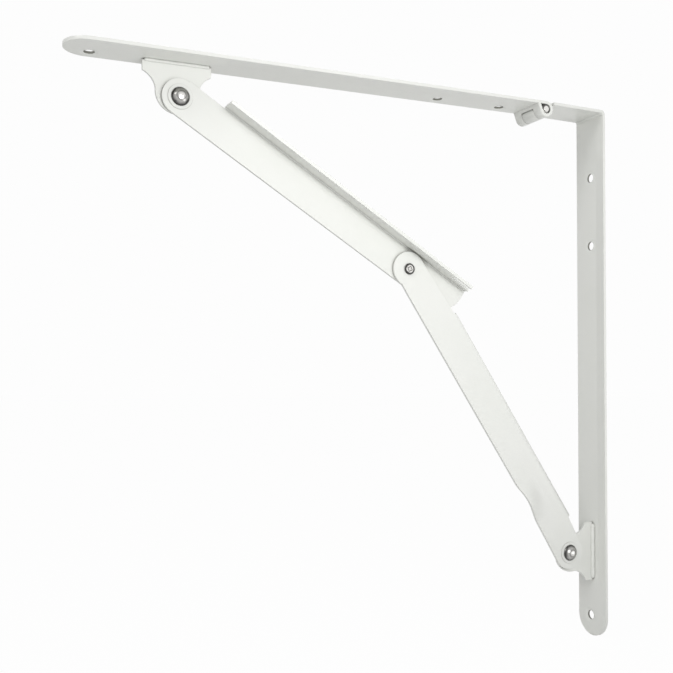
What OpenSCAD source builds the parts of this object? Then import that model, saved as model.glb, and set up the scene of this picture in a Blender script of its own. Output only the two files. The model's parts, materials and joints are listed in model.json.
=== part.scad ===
// Folding bracket for a drop leaf table: a wall plate, a hinged arm and a two-link strut.
// The wall plane is x = 0, the arm points to -X, and the top face of the bracket is horizontal.
// The origin is the centre of the upper wall screw hole, on the wall plane.

/* [Sheet] */
// Thickness of the steel sheet of the strips, ears and links
sheet_t = 1.6; // [1.2:0.1:2]
// Width of the wall plate and of the arm
strip_w = 23; // [20:0.5:28]
// Inside radius of the fold at the top corner of the wall plate
corner_fold_r = 1.2; // [0.6:0.1:2]
// Inside radius of the folds of the two links
link_fold_r = 0.6; // [0.4:0.05:0.9]

/* [Wall plate] */
// Height of the wall plate, from the top face to its round lower end
plate_h = 306.6; // [290:0.5:330]
// Drop of the upper wall screw hole below the top face
upper_screw_drop = 37.5; // [25:0.5:50]
// Distance between the two upper wall screw holes
upper_screw_pitch = 40.4; // [30:0.2:50]
// Distance of the lowest wall screw hole from the round end
lower_screw_margin = 11.4; // [8:0.1:16]
// Sideways place of the lowest wall screw hole, off the middle of the strip
lower_screw_side = 1.6; // [0:0.1:3]

/* [Arm] */
// Length of the arm from the wall plane to its round tip
arm_reach = 303.5; // [280:0.5:330]
// Angle by which the arm droops below level as shown
arm_droop = 0.97; // [0:0.01:1.5]
// Distance of the tip screw hole from the tip
tip_screw_margin = 12.7; // [9:0.1:16]
// Distance of the inner arm screw hole from the hinge axis
inner_screw_reach = 20.1; // [16:0.1:30]
// Distance between the two inner arm screw holes
inner_screw_pitch = 40.8; // [30:0.2:50]
// Sideways place of the arm screw holes, off the middle of the strip
arm_screw_side = 6; // [4.5:0.1:6.5]

/* [Hinge] */
// Distance of the hinge axis from the wall plane
hinge_reach = 42.2; // [38:0.2:50]
// Radius of the hinge pin
pin_r = 2.7; // [2:0.05:3.2]
// Width of the middle knuckle, rolled from the wall plate
middle_knuckle_w = 10.6; // [8:0.1:13]
// Side gap between neighbouring knuckles
knuckle_gap = 0.25; // [0.1:0.05:0.5]
// Gap between the short top leg and the arm's rolled ends
leg_gap = 1.1; // [0.5:0.1:2]
// Gap between the middle knuckle and the end of the slot in the arm
slot_gap = 0.6; // [0.3:0.1:2]
// Radius of the pin's narrower end
pin_nose_r = 1.7; // [1.2:0.05:2.2]
// Length of the pin's narrower end
pin_nose_len = 0.8; // [0.4:0.1:1.5]
// How far the rolled end comes back along the strip, from the hinge axis
curl_reach = 5.6; // [5:0.1:7]

/* [Screw holes] */
// Radius of a screw hole
screw_r = 2.5; // [2:0.05:3]
// Radius of the countersink round a screw hole
sink_r = 4.2; // [3.4:0.05:4.6]
// Depth of the countersink
sink_d = 0.5; // [0.3:0.05:1.1]

/* [Ears] */
// Length of an ear's foot along its strip
ear_foot = 33.8; // [32:0.1:38]
// Height of the foot's ends above the strip
ear_foot_h = 5; // [3:0.1:6]
// How far the pivot stands off the ear's middle, towards the hinge
ear_pivot_side = 0.8; // [0:0.1:2]
// Radius of the ear's round nose
ear_nose_r = 10.8; // [9.5:0.1:12]
// How far the nose's centre stands back from the pivot, towards the strip
ear_nose_back = 2.6; // [0:0.1:4]
// Radius of the hollow between the foot and the nose
ear_hollow_r = 9.8; // [9:0.1:16]
// How deep the hollow runs into the nose where they meet
nose_meet = 0.15; // [0.1:0.05:0.3]
// Near face of the arm's ear, off the middle of the strip
arm_ear_side = 4.3; // [3.5:0.1:5.5]
// Near face of the wall plate's ear, off the middle of the strip towards the near side
wall_ear_side = 0.6; // [0:0.1:1.2]

/* [Strut] */
// Distance of the arm pivot from the hinge axis, along the arm
arm_pivot_reach = 206.8; // [195:0.2:215]
// Distance of the arm pivot below the arm's top face
arm_pivot_drop = 18; // [16:0.1:20]
// Distance of the wall pivot from the wall plane
wall_pivot_reach = 20; // [18:0.1:22]
// Drop of the wall pivot below the top face
wall_pivot_drop = 256.6; // [245:0.2:265]
// Length of the upper link between its pivots
upper_pitch = 146.2; // [138:0.2:152]
// Angle by which the strut is broken at its middle pivot as shown
strut_bend = 25.3; // [18:0.1:35]
// Half the width of a link's web
link_half = 8.8; // [8:0.1:10]
// Slack between the side faces of pieces that turn against each other
side_gap = 0.1; // [0.05:0.01:0.2]
// Slack of the lower link's round end under the upper link's flange
round_gap = 0.6; // [0.5:0.05:0.9]

/* [Upper link] */
// Distance of the flange's start from the arm pivot
flange_start = 20.3; // [16:0.1:26]
// How far the upper link runs on past the middle pivot
tail_len = 36.1; // [30:0.1:38]
// How far the full flange runs on past the middle pivot
flange_tail = 22.3; // [18:0.1:27]
// Depth of the flange from the back of the web to its free edge
flange_depth = 13.2; // [11:0.1:15]
// Angle by which the flange leans in past square
flange_lean = 7; // [0:0.5:8]
// Width of the stop tongue along the flange's free edge
tongue_w = 1.9; // [1.4:0.1:3]
// How much shorter the stop tongue is than the tail
tongue_short = 2.4; // [0.5:0.1:5]
// Depth of the flange stump between the tongue and the web
stump_depth = 5.6; // [4.5:0.1:7]
// Corner radius of the tail on the flange side
tail_corner_r = 2; // [1.5:0.1:4]
// Side place of the centre of the tail's large rounding, towards the flange
tail_round_side = 6; // [2:0.1:8]

/* [Lower link] */
// Radius of the round end at the middle pivot
mid_end_r = 9.3; // [8:0.1:10]
// Distance of the straight right edge from the link's line, where the flange starts
edge_reach = 11; // [9.5:0.1:11.2]
// Distance of the straight free edge from the link's line
free_half = 8.1; // [6:0.1:9]
// Distance from the wall pivot at which the free edge starts to widen
widen_reach = 40; // [20:0.5:60]
// Distance of the lower flange's start from the middle pivot
lower_flange_start = 35.4; // [35.2:0.1:45]
// Distance of the lower flange's end from the wall pivot
lower_flange_end = 17.6; // [16:0.1:26]
// Depth of the lower flange from the front of the web to its free edge
lower_flange_depth = 10; // [7:0.1:11]
// Distance of the flange's outer face from the link's line
lower_flange_reach = 12.9; // [12:0.1:14]
// Distance from the middle pivot at which the sheet starts to slant to the near side
slant_start = 14; // [11:0.5:40]
// Distance from the wall pivot at which the slant ends
slant_end = 16.5; // [16:0.1:17]
// Radius of the round end at the wall pivot
wall_end_r = 9.4; // [8:0.1:10]

/* [Rivets] */
// Radius of the shank of the two large rivets
rivet_r = 2.8; // [2:0.05:3.2]
// Radius of the dome head of the two large rivets
dome_r = 4.65; // [4.2:0.05:5.2]
// Height of the dome head
dome_h = 2.8; // [2:0.05:3.4]
// Radius of the raised ring pressed round the large rivets
ring_r = 6; // [5.4:0.1:7]
// Height of the raised ring
ring_h = 0.5; // [0.3:0.05:0.8]
// Radius of the shank of the middle rivet
mid_rivet_r = 2; // [1.6:0.05:2.4]
// Radius of the flat head of the middle rivet
mid_head_r = 2.95; // [2.6:0.05:3.4]
// Height of the flat head of the middle rivet
mid_head_h = 0.8; // [0.5:0.05:1.2]
// Radius of the closed ends behind
tail_r = 3.9; // [3.4:0.05:4.6]
// Height of the closed ends behind
tail_h = 1.5; // [1:0.05:2]
// Radial slack of a pin or rivet in its hole
fit_gap = 0.05; // [0.02:0.01:0.1]

/* [Hidden] */
$fn = 96;
// Overrun of a cut past the face it leaves
over = 0.5;

half_w = strip_w / 2;
hinge_r = pin_r + fit_gap + sheet_t;
hinge_drop = hinge_r;
bore_r = pin_r + fit_gap;
corner_out = corner_fold_r + sheet_t;
fold_out = link_fold_r + sheet_t;

// Pivots in the plane of the bracket, as [x, z] from the wall plane and the top face.
hinge = [-hinge_reach, -hinge_drop];
wall_pivot = [-wall_pivot_reach, -wall_pivot_drop];
arm_pivot = turned([hinge[0] - arm_pivot_reach, -arm_pivot_drop], hinge, arm_droop);
span = norm(wall_pivot - arm_pivot);
lower_pitch = sqrt(pow(span, 2) - pow(upper_pitch * sin(strut_bend), 2))
              - upper_pitch * cos(strut_bend);
upper_angle = heading(arm_pivot, wall_pivot)
              + acos((pow(upper_pitch, 2) + pow(span, 2) - pow(lower_pitch, 2))
                     / (2 * upper_pitch * span));
middle_pivot = arm_pivot + upper_pitch * [cos(upper_angle), sin(upper_angle)];
lower_angle = heading(middle_pivot, wall_pivot);

// Side places of the stacked sheets, each a near face.
upper_web = arm_ear_side - side_gap - sheet_t;
lower_web = upper_web - side_gap - sheet_t;
wall_ear_near = -wall_ear_side;
lower_tab = wall_ear_near - side_gap - sheet_t;
// Angle by which the lower link's sheet slants between its ends.
slant = atan((lower_web - lower_tab) / (lower_pitch - slant_end - slant_start));
// Inner face of the upper link's flange, clear of the lower link's round end.
flange_in = mid_end_r + round_gap;

function turned(p, about, angle) =
    let (d = p - about)
    about + [d[0] * cos(angle) - d[1] * sin(angle), d[0] * sin(angle) + d[1] * cos(angle)];
function heading(from, to) = atan2(to[1] - from[1], to[0] - from[0]);
// Point that lies ra from a and rb from b, on the left of the way from a to b.
function meeting(a, ra, b, rb) =
    let (d = norm(b - a), u = (b - a) / d, along = (ra * ra - rb * rb + d * d) / (2 * d))
    a + along * u + sqrt(ra * ra - along * along) * [-u[1], u[0]];

// Moves from the bracket's own corner frame to the row frame.
module placed() {
    translate([0, 0, upper_screw_drop]) children();
}

// Places a link's local frame, with X along the link and Z to the corner side.
module along_link(pivot, angle) {
    translate([pivot[0], 0, pivot[1]]) rotate([0, -angle, 0]) children();
}

// Extrudes an outline drawn in [x, z], from one side place to another.
module between_sides(near, far) {
    translate([0, far, 0]) rotate([90, 0, 0]) linear_extrude(far - near) children();
}

// Extrudes a section drawn in [y, z], from one x to another.
module along_x(from, to) {
    translate([from, 0, 0]) rotate([90, 0, 90]) linear_extrude(to - from) children();
}

// Turns the arm and what it carries about the hinge by the droop.
module drooped() {
    translate([hinge[0], 0, hinge[1]]) rotate([0, -arm_droop, 0])
        translate([-hinge[0], 0, -hinge[1]]) children();
}

// A screw hole with its countersink, along +Z from the screw head's side.
module screw_hole() {
    translate([0, 0, -over]) cylinder(r = screw_r, h = sheet_t + 2 * over);
    cylinder(r1 = sink_r, r2 = screw_r, h = sink_d);
}

// Rolled end of a strip about the hinge axis, drawn in [x, z] with the strip on the left.
// It runs over the pin, round and back up to the strip's own underside.
module curl_outline() {
    lip = [-curl_reach, bore_r];
    touch = meeting([0, 0], hinge_r, lip, sqrt(lip * lip - hinge_r * hinge_r));
    inner_touch = touch * bore_r / hinge_r;
    rise = (lip - touch) / (lip[1] - touch[1]);
    inner_lip = inner_touch + rise * (bore_r - inner_touch[1]);
    difference() {
        union() {
            circle(r = hinge_r);
            polygon([[0, hinge_r], [-curl_reach, hinge_r], lip, touch, [0, 0]]);
        }
        circle(r = bore_r);
        polygon([[0, bore_r], inner_lip, inner_touch, [0, 0]]);
    }
}

module wall_plate() {
    color([0.86, 0.87, 0.85]) placed() difference() {
        union() {
            wall_sheet();
            leg_sheet();
            between_sides(-middle_knuckle_w / 2, middle_knuckle_w / 2)
                translate(hinge) mirror([1, 0]) curl_outline();
        }
        for (place = [[0, upper_screw_drop], [0, upper_screw_drop + upper_screw_pitch],
                      [lower_screw_side, plate_h - lower_screw_margin]])
            translate([-sheet_t, place[0], -place[1]]) rotate([0, 90, 0]) screw_hole();
    }
}

// The upright part of the wall plate, with its round lower end.
module wall_sheet() {
    translate([-sheet_t, 0, 0]) rotate([90, 0, 90]) linear_extrude(sheet_t) {
        translate([-half_w, half_w - plate_h]) square([strip_w, plate_h - half_w - corner_out]);
        translate([0, half_w - plate_h]) circle(r = half_w);
    }
}

// The short leg from the fold at the corner to the middle knuckle.
module leg_sheet() {
    leg_end = hinge_reach - hinge_r - leg_gap;
    between_sides(-half_w, half_w) {
        translate([-leg_end, -sheet_t]) square([leg_end - corner_out, sheet_t]);
        translate([-corner_out, -corner_out]) intersection() {
            difference() {
                circle(r = corner_out);
                circle(r = corner_fold_r);
            }
            square(corner_out);
        }
    }
    between_sides(-middle_knuckle_w / 2, middle_knuckle_w / 2)
        translate([-hinge_reach + curl_reach, -sheet_t])
            square([leg_end - curl_reach, sheet_t]);
}

module arm() {
    slot_end = hinge_reach + hinge_r + slot_gap;
    color([0.84, 0.85, 0.83]) placed() drooped() difference() {
        union() {
            translate([0, 0, -sheet_t]) linear_extrude(sheet_t) {
                translate([-arm_reach + half_w, -half_w])
                    square([arm_reach - half_w - hinge_reach - curl_reach, strip_w]);
                translate([-arm_reach + half_w, 0]) circle(r = half_w);
            }
            between_sides(-half_w, half_w) translate(hinge) curl_outline();
        }
        translate([-slot_end, -middle_knuckle_w / 2 - knuckle_gap, -2 * hinge_r])
            cube([3 * hinge_r, middle_knuckle_w + 2 * knuckle_gap, 4 * hinge_r]);
        for (reach = [arm_reach - tip_screw_margin, hinge_reach + inner_screw_reach,
                      hinge_reach + inner_screw_reach + inner_screw_pitch])
            translate([-reach, arm_screw_side, -sheet_t]) screw_hole();
    }
}

// Outline of an ear, drawn with the strip's face along X, the hinge on the right
// and the pivot above the origin.
module ear_outline(pivot_h) {
    nose = [0, pivot_h - ear_nose_back];
    reach = ear_nose_r + ear_hollow_r - nose_meet;
    hollow = meeting(nose, reach, [ear_foot / 2, ear_foot_h], ear_hollow_r);
    neck_h = nose[1] + (hollow[1] - nose[1]) * ear_nose_r / reach;
    difference() {
        translate([-ear_pivot_side, 0]) {
            difference() {
                translate([-ear_foot / 2, 0]) square([ear_foot, neck_h]);
                for (side = [-1, 1])
                    translate([side * hollow[0], hollow[1]]) circle(r = ear_hollow_r);
            }
            translate(nose) circle(r = ear_nose_r);
        }
        translate([0, pivot_h]) circle(r = rivet_r + fit_gap);
    }
}

module arm_ear() {
    color([0.94, 0.945, 0.93]) placed() drooped()
        translate([hinge[0] - arm_pivot_reach, 0, -sheet_t])
            between_sides(arm_ear_side, arm_ear_side + sheet_t)
                mirror([0, 1]) ear_outline(arm_pivot_drop - sheet_t);
}

module wall_ear() {
    color([0.9, 0.905, 0.89]) placed() translate([-sheet_t, 0, wall_pivot[1]])
        between_sides(wall_ear_near, wall_ear_near + sheet_t)
            rotate(90) ear_outline(wall_pivot_reach - sheet_t);
}

module upper_link() {
    web_back = upper_web + sheet_t;
    full_end = upper_pitch + flange_tail;
    tail_end = upper_pitch + tail_len;
    color([0.945, 0.95, 0.935]) placed() along_link(arm_pivot, upper_angle) difference() {
        union() {
            between_sides(upper_web, web_back) upper_outline(tail_end);
            along_x(flange_start, full_end) upper_fold(0, flange_depth);
            intersection() {
                along_x(flange_start, tail_end) upper_fold(0, stump_depth);
                between_sides(-strip_w, strip_w) tail_outline(tail_end);
            }
            along_x(full_end - over, tail_end - tongue_short)
                upper_fold(flange_depth - tongue_w, flange_depth);
            translate([0, upper_web, 0]) rotate([90, 0, 0]) cylinder(r = ring_r, h = ring_h);
        }
        pivot_hole(0, rivet_r);
        pivot_hole(upper_pitch, mid_rivet_r);
    }
}

// Web of the upper link: round about the arm pivot, and on to the round tail.
module upper_outline(tail_end) {
    fold_line = flange_in - link_fold_r;
    circle(r = link_half);
    translate([0, -link_half]) square([flange_start, link_half + fold_line]);
    intersection() {
        translate([0, -link_half]) square([tail_end, link_half + fold_line]);
        tail_outline(tail_end);
    }
}

// Outline that rounds both corners of the upper link's tail, the free one in a large arc.
module tail_outline(tail_end) {
    flange_out = flange_in + sheet_t;
    round_r = link_half + tail_round_side;
    straight_end = tail_end - round_r;
    translate([0, -link_half]) square([straight_end, link_half + flange_out]);
    translate([straight_end, tail_round_side])
        square([round_r, flange_out - tail_corner_r - tail_round_side]);
    translate([straight_end, tail_round_side])
        square([round_r - tail_corner_r, flange_out - tail_round_side]);
    translate([straight_end, tail_round_side]) circle(r = round_r);
    translate([tail_end - tail_corner_r, flange_out - tail_corner_r]) circle(r = tail_corner_r);
}

// Fold and flange of the upper link between two depths from the web's back, in [y, z].
// The depth 0 takes the fold itself too.
module upper_fold(from, to) {
    translate([upper_web + sheet_t - fold_out, flange_in - link_fold_r]) {
        if (from == 0) intersection() {
            difference() {
                circle(r = fold_out);
                circle(r = link_fold_r);
            }
            union() {
                square(fold_out);
                rotate(flange_lean) square(fold_out);
            }
        }
        rotate(flange_lean) translate([fold_out - to, link_fold_r])
            square([to - max(from, fold_out), sheet_t]);
    }
}

// A hole through the sheets about a pivot of a link.
module pivot_hole(place, shank_r) {
    translate([place, strip_w, 0]) rotate([90, 0, 0])
        cylinder(r = shank_r + fit_gap, h = 2 * strip_w);
}

module lower_link() {
    color([0.925, 0.93, 0.915]) placed() along_link(middle_pivot, lower_angle) difference() {
        union() {
            intersection() {
                slanted_sheet();
                between_sides(-strip_w, strip_w) lower_outline();
            }
            lower_flange();
            translate([lower_pitch, lower_tab, 0]) rotate([90, 0, 0])
                cylinder(r = ring_r, h = ring_h);
        }
        pivot_hole(0, mid_rivet_r);
        pivot_hole(lower_pitch, rivet_r);
    }
}

// Extrudes a section drawn in [y, z] along the slanted part of the lower link's sheet.
module along_slant() {
    run = lower_pitch - slant_end - slant_start;
    translate([slant_start, lower_web, 0]) rotate([0, 0, -slant])
        along_x(over / 4, run / cos(slant) - over / 4) children();
}

// The lower link's sheet before its outline is cut: it slants to the near side between its ends.
module slanted_sheet() {
    along_x(-strip_w, slant_start + over)
        translate([lower_web, -strip_w]) square([sheet_t, 2 * strip_w]);
    along_slant() translate([0, -strip_w]) square([sheet_t, 2 * strip_w]);
    along_x(lower_pitch - slant_end - over, lower_pitch + strip_w)
        translate([lower_tab, -strip_w]) square([sheet_t, 2 * strip_w]);
}

// Outline of the lower link's web.
module lower_outline() {
    widen = lower_pitch - widen_reach;
    stop = lower_pitch - lower_flange_end;
    fold_line = lower_flange_reach - fold_out;
    circle(r = mid_end_r);
    polygon([[0, -free_half], [widen, -free_half], [lower_pitch, -wall_end_r],
             [lower_pitch, wall_end_r], [stop, fold_line], [lower_flange_start, fold_line],
             [lower_flange_start, edge_reach], [0, mid_end_r]]);
    translate([lower_pitch, 0]) circle(r = wall_end_r);
}

// Fold and flange of the lower link, turned to the far side along the slanted sheet.
module lower_flange() {
    stop = lower_pitch - lower_flange_end;
    intersection() {
        along_slant() lower_fold();
        translate([lower_flange_start, -strip_w, 0])
            cube([stop - lower_flange_start, 2 * strip_w, strip_w]);
    }
}

// Section of the lower link's fold and flange, drawn in [y, z].
module lower_fold() {
    translate([fold_out, lower_flange_reach - fold_out]) {
        intersection() {
            difference() {
                circle(r = fold_out);
                circle(r = link_fold_r);
            }
            translate([-fold_out, 0]) square(fold_out);
        }
        translate([0, link_fold_r]) square([lower_flange_depth - fold_out, sheet_t]);
    }
}

// One end of the hinge pin, drawn on the far side of the middle knuckle.
module pin_end() {
    inner = middle_knuckle_w / 2 + knuckle_gap;
    shoulder = half_w - pin_nose_len;
    translate([hinge[0], shoulder, hinge[1]]) rotate([90, 0, 0])
        cylinder(r = pin_r, h = shoulder - inner);
    translate([hinge[0], half_w, hinge[1]]) rotate([90, 0, 0])
        cylinder(r = pin_nose_r, h = pin_nose_len);
}

module pin_near_end() {
    color("silver") placed() mirror([0, 1, 0]) pin_end();
}

module pin_far_end() {
    color("silver") placed() pin_end();
}

// The stretch of the hinge pin inside the middle knuckle.
module pin_middle() {
    color("silver") placed() translate([hinge[0], middle_knuckle_w / 2, hinge[1]])
        rotate([90, 0, 0]) cylinder(r = pin_r, h = middle_knuckle_w);
}

// A dome head whose flat face is at y = 0 and whose crown is towards -Y.
module dome() {
    ball_r = (dome_r * dome_r + dome_h * dome_h) / (2 * dome_h);
    rotate([90, 0, 0]) intersection() {
        translate([0, 0, dome_h - ball_r]) sphere(r = ball_r);
        cylinder(r = dome_r, h = dome_h);
    }
}

// A large rivet: dome in front, shank through both sheets, closed end behind.
module large_rivet(front, back) {
    translate([0, front, 0]) dome();
    translate([0, back, 0]) rotate([90, 0, 0]) cylinder(r = rivet_r, h = back - front);
    translate([0, back + tail_h, 0]) rotate([90, 0, 0]) cylinder(r = tail_r, h = tail_h);
}

module arm_rivet() {
    color("gainsboro") placed() translate([arm_pivot[0], 0, arm_pivot[1]])
        large_rivet(upper_web - ring_h - fit_gap, arm_ear_side + sheet_t);
}

module wall_rivet() {
    color("gainsboro") placed() translate([wall_pivot[0], 0, wall_pivot[1]])
        large_rivet(lower_tab - ring_h - fit_gap, wall_ear_near + sheet_t);
}

module middle_rivet() {
    front = lower_web - fit_gap;
    back = upper_web + sheet_t;
    color("gainsboro") placed() translate([middle_pivot[0], 0, middle_pivot[1]]) {
        translate([0, front, 0]) rotate([90, 0, 0]) cylinder(r = mid_head_r, h = mid_head_h);
        translate([0, back, 0]) rotate([90, 0, 0]) cylinder(r = mid_rivet_r, h = back - front);
        translate([0, back + tail_h, 0]) rotate([90, 0, 0]) cylinder(r = tail_r, h = tail_h);
    }
}

wall_plate();
wall_ear();
arm();
arm_ear();
upper_link();
lower_link();
pin_near_end();
pin_middle();
pin_far_end();
arm_rivet();
middle_rivet();
wall_rivet();
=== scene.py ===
import json
import math

import bmesh
import bpy
from mathutils import Euler, Matrix, Vector


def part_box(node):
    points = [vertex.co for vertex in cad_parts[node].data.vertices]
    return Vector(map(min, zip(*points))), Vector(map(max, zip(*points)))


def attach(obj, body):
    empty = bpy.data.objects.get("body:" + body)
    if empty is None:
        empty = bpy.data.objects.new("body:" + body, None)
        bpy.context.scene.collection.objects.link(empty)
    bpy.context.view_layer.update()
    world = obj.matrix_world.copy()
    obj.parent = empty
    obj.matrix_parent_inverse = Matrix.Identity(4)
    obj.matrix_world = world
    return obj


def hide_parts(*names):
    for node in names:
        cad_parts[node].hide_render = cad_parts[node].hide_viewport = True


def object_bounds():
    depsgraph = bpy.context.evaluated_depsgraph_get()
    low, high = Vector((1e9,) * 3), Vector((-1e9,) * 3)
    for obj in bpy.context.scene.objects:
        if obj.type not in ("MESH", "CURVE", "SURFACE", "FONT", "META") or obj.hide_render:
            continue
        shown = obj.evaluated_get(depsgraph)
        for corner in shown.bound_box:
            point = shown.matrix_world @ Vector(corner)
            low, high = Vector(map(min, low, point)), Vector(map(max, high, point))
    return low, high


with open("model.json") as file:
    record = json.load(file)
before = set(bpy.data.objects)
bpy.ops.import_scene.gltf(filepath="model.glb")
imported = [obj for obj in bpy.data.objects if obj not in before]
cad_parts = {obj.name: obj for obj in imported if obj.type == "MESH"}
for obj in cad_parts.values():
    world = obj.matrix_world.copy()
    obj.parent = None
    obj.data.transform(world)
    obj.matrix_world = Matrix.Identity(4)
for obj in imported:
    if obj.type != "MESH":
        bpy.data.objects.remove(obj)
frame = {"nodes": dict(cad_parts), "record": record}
cad_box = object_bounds()


# The wall plate: one strip of cold rolled steel sheet, punched for three screws, folded square at
# the top and rolled round the hinge pin, with a shallow valley coined along its front. It is powder
# coated white before the pin goes in, so its edges are soft and it shows a fine orange peel.
class Wire:
    """One output socket, on which sums are written as Python expressions."""

    def __init__(self, bench, out):
        self.bench, self.out = bench, out

    def _sum(self, operation, first, second):
        return self.bench.add("ShaderNodeMath", {"operation": operation}, {0: first, 1: second})

    def __add__(self, other):
        return self._sum("ADD", self, other)

    def __sub__(self, other):
        return self._sum("SUBTRACT", self, other)

    def __mul__(self, other):
        return self._sum("MULTIPLY", self, other)

    def __truediv__(self, other):
        return self._sum("DIVIDE", self, other)

    def __rsub__(self, other):
        return self._sum("SUBTRACT", other, self)

    def __rtruediv__(self, other):
        return self._sum("DIVIDE", other, self)

    __radd__, __rmul__ = __add__, __mul__


class Bench:
    """A node tree to work on; add() puts in any node and feed() fills one socket."""

    def __init__(self, tree):
        self.tree = tree

    def add(self, kind, settings, sockets, out=0):
        node = self.tree.nodes.new(kind)
        for name, value in settings.items():
            if name == "stops":
                ramp = node.color_ramp
                while len(ramp.elements) < len(value):
                    ramp.elements.new(0.5)
                for stop, (at, colour) in zip(ramp.elements, value):
                    stop.position, stop.color = at, colour
            else:
                setattr(node, name, value)
        for name, value in sockets.items():
            self.feed(node.inputs[name], value)
        return Wire(self, node.outputs[out]) if len(node.outputs) else None

    def feed(self, socket, value):
        if isinstance(value, Wire):
            self.tree.links.new(value.out, socket)
        else:
            socket.default_value = value


class Finish(Bench):
    """What a piece is coated or plated with: a material, and the parts its nodes are made of."""

    def __init__(self, name, **constants):
        self.material = bpy.data.materials.new(name)
        self.material.use_nodes = True
        super().__init__(self.material.node_tree)
        self.shader = self.tree.nodes["Principled BSDF"]
        for socket, value in constants.items():
            self.shader.inputs[socket.replace("_", " ")].default_value = value
        self.place = self.add("ShaderNodeTexCoord", {}, {}, "Object")

    def noise(self, scale, detail):
        return self.add("ShaderNodeTexNoise", {}, {
            "Vector": self.place, "Scale": scale, "Detail": detail})

    def ease(self, value, start, end):
        """A smooth step from 0 at start to 1 at end."""
        return self.add("ShaderNodeMapRange", {"interpolation_type": "SMOOTHSTEP"}, {
            "Value": value, "From Min": start, "From Max": end})

    def bump(self, height):
        return self.add("ShaderNodeBump", {}, {
            "Strength": 1.0, "Distance": 1.0, "Height": height}, "Normal")

    def larger(self, first, second):
        return self.add("ShaderNodeMath", {"operation": "MAXIMUM"}, {0: first, 1: second})

    def offsets(self, sides, place):
        """How far a point is from an axis along each of the two sides named."""
        return [self.add("ShaderNodeSeparateXYZ", {}, {0: self.place}, side) - at
                for side, at in zip(sides, place)]

    def distance(self, sides, place):
        """How far a point is from an axis, straight across it."""
        first, second = self.offsets(sides, place)
        return self.add("ShaderNodeMath", {"operation": "SQRT"},
                        {0: first * first + second * second})

    def blend(self, share, first, second):
        first, second = (c if isinstance(c, Wire) else (*c, 1.0) for c in (first, second))
        return self.add("ShaderNodeMix", {"data_type": "RGBA"}, {
            6: first, 7: second, "Factor": share}, "Result")

    def finish(self, **links):
        for socket, value in links.items():
            self.feed(self.shader.inputs[socket.replace("_", " ")], value)
        return self.material


def powder_coat(name, sides="YZ", shaded_holes=(), corner_shade=0.6):
    """White powder coat with painted shade: it is painted darker in its corners and crevices, where
    shade falls, and round the hole places given, measured along the two sides, as on the shaded
    wall of a screw hole."""
    shaded_white, plain_white, painted_shade_grey = (
        (0.80, 0.812, 0.775), (0.845, 0.85, 0.825), (0.20, 0.20, 0.175))
    peel_height, speck_height = 0.000022, 0.000004
    corner_reach, corner_samples = 0.003, 24
    shade_starts, shade_full = 0.88, 0.38
    hole_shade_radius, hole_shade_fade = 0.0027, 0.00012
    least_rough, rough_span = 0.28, 0.12

    coat = Finish(name, IOR=1.5, Specular_IOR_Level=0.5)
    cloud = coat.noise(scale=34.0, detail=3.0)
    peel = coat.noise(scale=1150.0, detail=2.0)
    speck = coat.noise(scale=4200.0, detail=1.0)
    # Painted shade: ambient occlusion darkens the colour in corners and crevices.
    open_air = coat.add("ShaderNodeAmbientOcclusion", {"samples": corner_samples},
                        {"Distance": corner_reach}, "AO")
    painted_shade = coat.ease(open_air, shade_starts, shade_full) * corner_shade
    # Painted shade on the walls of the screw holes.
    for place in shaded_holes:
        hole_shade = coat.ease(coat.distance(sides, place), hole_shade_radius, hole_shade_radius - hole_shade_fade)
        painted_shade = coat.larger(painted_shade, hole_shade)
    white = coat.blend(cloud, shaded_white, plain_white)
    return coat.finish(Base_Color=coat.blend(painted_shade, white, painted_shade_grey),
                       Roughness=cloud * rough_span + least_rough,
                       Normal=coat.bump(peel * peel_height + speck * speck_height))


merge_gap, flat_angle = 0.000002, math.radians(0.4)


def soften(piece, material, width=0.0003):
    """Gives a piece its coat and rounds its cut edges."""
    piece.data.materials.clear()
    piece.data.materials.append(material)
    weld = piece.modifiers.new("joined", "WELD")
    weld.merge_threshold = merge_gap
    flats = piece.modifiers.new("flats", "DECIMATE")
    flats.decimate_type, flats.angle_limit = "DISSOLVE", flat_angle
    edge = piece.modifiers.new("edges", "BEVEL")
    edge.limit_method, edge.angle_limit = "ANGLE", math.radians(35)
    edge.width, edge.segments, edge.profile = width, 2, 0.5
    edge.use_clamp_overlap = True
    edge.harden_normals = True


def set_down(name, bm):
    """Makes an object of a finished bmesh, standing at the origin."""
    mesh = bpy.data.meshes.new(name)
    bm.to_mesh(mesh)
    bm.free()
    piece = bpy.data.objects.new(name, mesh)
    bpy.context.scene.collection.objects.link(piece)
    return piece


nodes = frame["nodes"]
screws = {mount["name"]: mount["pos_m"] for mount in frame["record"]["mounts"]}


def pressed(node, body, cuts, push):
    """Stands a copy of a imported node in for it, cut along planes and pressed out of flat."""
    bm = bmesh.new()
    bm.from_mesh(nodes[node].data)
    bmesh.ops.remove_doubles(bm, verts=bm.verts, dist=merge_gap)
    bmesh.ops.dissolve_limit(bm, angle_limit=flat_angle, verts=bm.verts, edges=bm.edges)
    for point, normal in cuts:
        bmesh.ops.bisect_plane(bm, geom=bm.verts[:] + bm.edges[:] + bm.faces[:], dist=0.00001,
                               plane_co=point, plane_no=normal)
    for vert in bm.verts:
        vert.co += push(vert.co)
    piece = set_down("pressed_" + node, bm)
    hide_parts(node)
    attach(piece, body)
    return piece


def smooth_step(value, start, end):
    share = min(1.0, max(0.0, (value - start) / (end - start)))
    return share * share * (3 - 2 * share)


strip_half, sheet = 0.0115, 0.0016
face_slack = 0.2 * sheet
valley_fade, valley_depth, fade_steps = 0.012, 0.0007, 5


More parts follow.
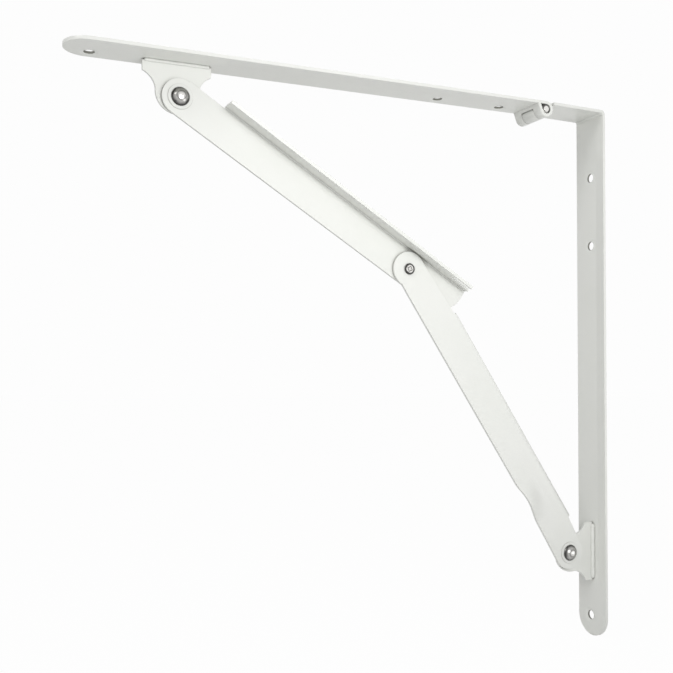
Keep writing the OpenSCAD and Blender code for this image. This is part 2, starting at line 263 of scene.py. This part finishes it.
def valley(low, high, middle, inward, from_back):
    """The planes and the push of a shallow valley coined into the seen face of a strip, from low
    to high on the strip's axis. It is deepest at middle and runs out at both side edges. The seen
    face is the one a sheet's thickness from the back, which from_back measures."""
    axis = Vector([abs(b - a) for a, b in zip(low, high)]).normalized()
    start, end = sorted((Vector(low).dot(axis), Vector(high).dot(axis)))
    cuts = [((0, middle, 0), (0, 1, 0))]
    cuts += [(axis * (at + step * valley_fade / fade_steps), axis)
             for at in (start, end - valley_fade) for step in range(fade_steps + 1)]

    def push(point):
        if abs(from_back(point) - sheet) > face_slack:
            return Vector()
        along = point.dot(axis)
        run = (smooth_step(along, start, start + valley_fade)
               * smooth_step(along, end, end - valley_fade))
        side = strip_half + middle if point.y < middle else strip_half - middle
        return Vector(inward) * valley_depth * run * max(0.0, 1 - abs(point.y - middle) / side)

    return cuts, push


# Painted shade darkens the walls of the plate's three screw holes.
plate_coat = powder_coat("plate_coat", "YZ", [
    screws[name][1:] for name in ("upper_wall_screw", "second_wall_screw", "lower_wall_screw")])
cuts, push = valley((0, 0, -0.245), (0, 0, 0.018), -0.0045, (1, 0, 0), lambda point: -point.x)
soften(pressed("wall_plate", "wall_side", cuts, push), plate_coat)


# The wall ear: blanked from the same sheet, stood on edge on the plate and welded along its foot
# with a small bead in the corner on both sides, all coated together.
# Both coats carry painted shade in their corners. The weld's is fainter.
link_coat = powder_coat("link_coat")
weld_coat = powder_coat("weld_coat", corner_shade=0.15)
soften(nodes["wall_ear"], link_coat)
bead_short = 0.002


def weld_bead(name, body, middle, length, radius, lean):
    """A rippled bead round its own line, which runs upwards before it leans about the Y axis. Its
    ends are drawn in over one and a half times its radius, to a quarter of its width."""
    end_run, end_width = 1.5 * radius, 0.25
    bm = bmesh.new()
    bmesh.ops.create_cone(bm, cap_ends=True, segments=14, radius1=radius, radius2=radius,
                          depth=length)
    bmesh.ops.subdivide_edges(bm, cuts=70, edges=[
        e for e in bm.edges if abs(e.verts[0].co.z - e.verts[1].co.z) > length / 2])
    for vert in bm.verts:
        to_end = min(1.0, (length / 2 - abs(vert.co.z)) / end_run)
        round_end = math.sqrt(max(0.0, 1 - (1 - to_end) ** 2))
        ripple = 1 + sum(size * math.sin(vert.co.z * pitch)
                         for size, pitch in ((0.05, 3600), (0.06, 900)))
        vert.co.xy *= (end_width + (1 - end_width) * round_end) * ripple
    bmesh.ops.rotate(bm, verts=bm.verts, cent=(0, 0, 0), matrix=Matrix.Rotation(lean, 3, "Y"))
    bmesh.ops.translate(bm, verts=bm.verts, vec=middle)
    bead = set_down(name, bm)
    bead.data.shade_smooth()
    bead.data.materials.append(weld_coat)
    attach(bead, body)


ear_low, ear_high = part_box("wall_ear")
for name, side, radius in (("wall_weld_near", ear_low[1], 0.0013),
                           ("wall_weld_far", ear_high[1], 0.0010)):
    weld_bead(name, "wall_side", (ear_high[0], side, (ear_low[2] + ear_high[2]) / 2),
              ear_high[2] - ear_low[2] - bead_short, radius, 0.0)


# The arm: the second strip, with a round tip, three screw holes sunk from below and a slot at its
# inner end for the plate's knuckle. Its own two tongues are rolled round the pin, and its
# underside has the same shallow valley.
arm_top, arm_droop, hinge_reach = 0.0375, math.tan(math.radians(0.97)), 0.0422


def arm_back(x):
    """The height of the arm's top face, which droops a little towards the tip."""
    return arm_top + (x + hinge_reach) * arm_droop


# Painted shade darkens the walls of the arm's three screw holes.
arm_coat = powder_coat("arm_coat", "XY", [
    screws[name][:2] for name in ("tip_arm_screw", "outer_arm_screw", "inner_arm_screw")])
cuts, push = valley((-0.296, 0, 0), (-0.056, 0, 0), 0.0014, (0, 0, 1),
                    lambda point: arm_back(point.x) - point.z)
soften(pressed("arm", "leaf_arm", cuts, push), arm_coat)


# The arm ear: blanked as the wall ear is, stood on edge under the arm and welded along its foot
# with a thinner bead on both sides.
soften(nodes["arm_ear"], link_coat)
ear_low, ear_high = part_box("arm_ear")
foot_x = (ear_low[0] + ear_high[0]) / 2
for name, side in (("arm_weld_near", ear_low[1]), ("arm_weld_far", ear_high[1])):
    weld_bead(name, "leaf_arm", (foot_x, side, arm_back(foot_x) - sheet),
              ear_high[0] - ear_low[0] - bead_short, 0.0008, math.pi / 2 - math.atan(arm_droop))


# The hinge pin: one plated steel pin pushed through the three knuckles. Here it is cut at the faces
# of the middle one, where the mechanism is opened. Its ends have painted shade: a dark ring round a
# bright centre, where the gap round the end lies in shadow.
def bright_steel(name, axis, painted_bands, punch=None):
    """Plated steel with painted light: its colour is painted in bands by the distance from an
    axis along Y, standing in for the highlights, reflections and shade on it, and punch is half the
    width of a square mark."""
    warm, mark_grey = (1.0, 0.985, 0.95), (0.10, 0.10, 0.09)
    dent_height, scratch_height, wander = 0.00006, 0.00001, 0.0012
    punch_turn, punch_line = 0.4, 0.00022
    least_rough, rough_span = 0.16, 0.16

    steel = Finish(name, Metallic=1.0)
    cloud = steel.noise(scale=420.0, detail=3.0)
    fine = steel.noise(scale=2600.0, detail=2.0)
    widest = painted_bands[-1][0]
    tone = steel.add("ShaderNodeValToRGB", {"stops": [
        (at / widest, (*(shade * part for part in warm), 1)) for at, shade in painted_bands]},
        {"Fac": (steel.distance("XZ", axis) + (cloud - 0.5) * wander) / widest}, "Color")
    if punch:
        dx, dz = steel.offsets("XZ", axis)
        across, down = (steel.add("ShaderNodeMath", {"operation": "ABSOLUTE"}, {0: side})
                        for side in (dx + dz * punch_turn, dz - dx * punch_turn))
        mark = steel.add("ShaderNodeMath", {"operation": "COMPARE"},
                         {0: steel.larger(across, down), 1: punch, 2: punch_line})
        tone = steel.blend(mark, tone, mark_grey)
    return steel.finish(Base_Color=tone, Roughness=fine * rough_span + least_rough,
                        Normal=steel.bump(cloud * dent_height + fine * scratch_height))


turned_edge = 0.0002
# Painted shade: a dark ring round the pin's bright end, where the gap round it lies in shadow.
pin_steel = bright_steel("pin_steel", (-hinge_reach, 0.03315), (
    (0.0, 0.85), (0.0017, 0.8), (0.0020, 0.12), (0.0024, 0.06), (0.0027, 0.25)))
for node in ("pin_near_end", "pin_middle", "pin_far_end"):
    soften(nodes[node], pin_steel, turned_edge)


# The upper link: a web with one long flange that leans in over the lower link, folded from the
# coated sheet and cut back to a narrow stop tongue past the middle pivot. A ring is pressed up
# round its upper rivet hole.
soften(nodes["upper_link"], link_coat)


# The lower link: a straight web with a flange to the far side, pressed from the same sheet. It
# slants from the near side of the upper link to the near side of the wall ear, and a pocket pressed
# into its free edge pushes that edge to the near side.
middle_pivot, wall_pivot = (-0.124039, -0.060315), (-0.020, -0.2191)
link_top, link_foot = (Vector((x, 0, z)) for x, z in (middle_pivot, wall_pivot))
down_link = (link_foot - link_top).normalized()
to_free = Vector((down_link.z, 0, -down_link.x))
pocket_start, pocket_peak, pocket_flat, pocket_end = 0.1355, 0.1455, 0.002, 0.163
pocket_depth, free_half, pocket_root = 0.003, 0.0081, -0.0034
cuts = [(link_top + direction * (start + step * pitch), direction)
        for direction, start, pitch, count in ((down_link, pocket_start, 0.0015, 21),
                                               (to_free, pocket_root, 0.0013, 9))
        for step in range(count)]


def pocket_push(point):
    along, across = (point - link_top).dot(down_link), (point - link_top).dot(to_free)
    rise = (smooth_step(along, pocket_start, pocket_peak)
            * smooth_step(along, pocket_end, pocket_peak + pocket_flat)
            * smooth_step(across, pocket_root, free_half))
    return Vector((0, -pocket_depth * rise, 0))


soften(pressed("lower_link", "lower_strut", cuts, pocket_push), link_coat)


# The rivets: bright plated steel, with domed heads at the two ears and a small flat head, peened
# over with a square punch, in the middle.
arm_pivot, punch_half = (-0.248739, 0.016001), 0.0011
# Painted highlight and reflections: the domes are painted bright at the centre with dark rings
# towards the rim, and the flat head has a dark reflection ring painted round its rim.
dome_painted_reflections = ((0.0, 0.8), (0.0014, 0.6), (0.0020, 0.25), (0.0028, 0.45), (0.0035, 0.28),
              (0.0040, 0.07), (0.0044, 0.06), (0.0047, 0.3))
flat_head_painted_reflections = ((0.0, 0.7), (0.0018, 0.8), (0.0021, 0.3), (0.0024, 0.06), (0.0030, 0.05),
              (0.0034, 0.4), (0.0040, 0.5))
for node, axis, painted_bands, punch in (("arm_rivet", arm_pivot, dome_painted_reflections, None),
                                 ("wall_rivet", wall_pivot, dome_painted_reflections, None),
                                 ("middle_rivet", middle_pivot, flat_head_painted_reflections, punch_half)):
    soften(nodes[node], bright_steel(node + "_steel", axis, painted_bands, punch), turned_edge)


# The studio: a pale floor just under the bracket, a dim pale surround, and three soft square
# lamps. The floor and the surround look near white to the camera and in gloss and glass.
floor_gap, floor_half = 0.0005, 6.0
bm = bmesh.new()
bmesh.ops.create_grid(bm, x_segments=1, y_segments=1, size=floor_half)
bmesh.ops.translate(bm, verts=bm.verts, vec=(0, 0, cad_box[0][2] - floor_gap))
floor = set_down("floor", bm)
floor_paint = bpy.data.materials.new("floor_paint")
floor.data.materials.append(floor_paint)
world = bpy.data.worlds.new("studio")
bpy.context.scene.world = world

white_share = 0.97
for owner, output, plain, settings, light in (
        (floor_paint, "ShaderNodeOutputMaterial", "ShaderNodeBsdfDiffuse",
         {"Color": (0.88, 0.88, 0.875, 1)}, "ShaderNodeEmission"),
        (world, "ShaderNodeOutputWorld", "ShaderNodeBackground",
         {"Color": (1.0, 1.0, 0.985, 1), "Strength": 0.42}, "ShaderNodeBackground")):
    owner.use_nodes = True
    owner.node_tree.nodes.clear()
    bench = Bench(owner.node_tree)
    seen, gloss, glass = (bench.add("ShaderNodeLightPath", {}, {}, ray)
                          for ray in ("Is Camera Ray", "Is Glossy Ray", "Is Transmission Ray"))
    for ray in (gloss, glass):
        seen = bench.add("ShaderNodeMath", {"operation": "ADD", "use_clamp": True},
                         {0: seen, 1: ray})
    white = bench.add(light, {}, {"Color": (1, 1, 1, 1), "Strength": 1.0})
    mixed = bench.add("ShaderNodeMixShader", {}, {
        "Fac": seen * white_share, 1: bench.add(plain, {}, settings), 2: white})
    bench.add(output, {}, {"Surface": mixed})

for name, at, aim, size, spread, power in (
        ("key", (-0.18, -0.45, -0.03), (-0.17, 0.0, -0.02), 0.25, 115, 0.44),
        ("side", (-0.9, -0.3, 0.55), (0.0, 0.0, -0.1), 0.4, 180, 2.4),
        ("low", (0.1, -0.3, -0.25), (-0.15, 0.0, 0.03), 0.3, 100, 0.20)):
    lamp = bpy.data.lights.new(name, "AREA")
    lamp.shape, lamp.size, lamp.energy = "SQUARE", size, power
    lamp.spread = math.radians(spread)
    light = bpy.data.objects.new(name, lamp)
    light.location = at
    light.rotation_euler = (Vector(at) - Vector(aim)).to_track_quat("Z", "Y").to_euler()
    bpy.context.scene.collection.objects.link(light)


# The camera stands in front of the bracket, to its left and a little below its middle, and looks
# in as the photographer did, with a small shift for the framing.
lens = bpy.data.cameras.new("camera")
lens.sensor_fit, lens.sensor_width = "HORIZONTAL", 36.0
lens.lens = 47.7212
lens.shift_x, lens.shift_y = -0.003956, 0.030062
lens.clip_start, lens.clip_end = 0.01, 50.0
camera = bpy.data.objects.new("camera", lens)
camera.location = (-0.360581, -0.413052, -0.118026)
camera.rotation_euler = Euler([math.radians(a) for a in (91.30473, -0.02737, -25.24184)], "XYZ")
bpy.context.scene.collection.objects.link(camera)
bpy.context.scene.camera = camera
bpy.context.scene.view_settings.view_transform = "Standard"
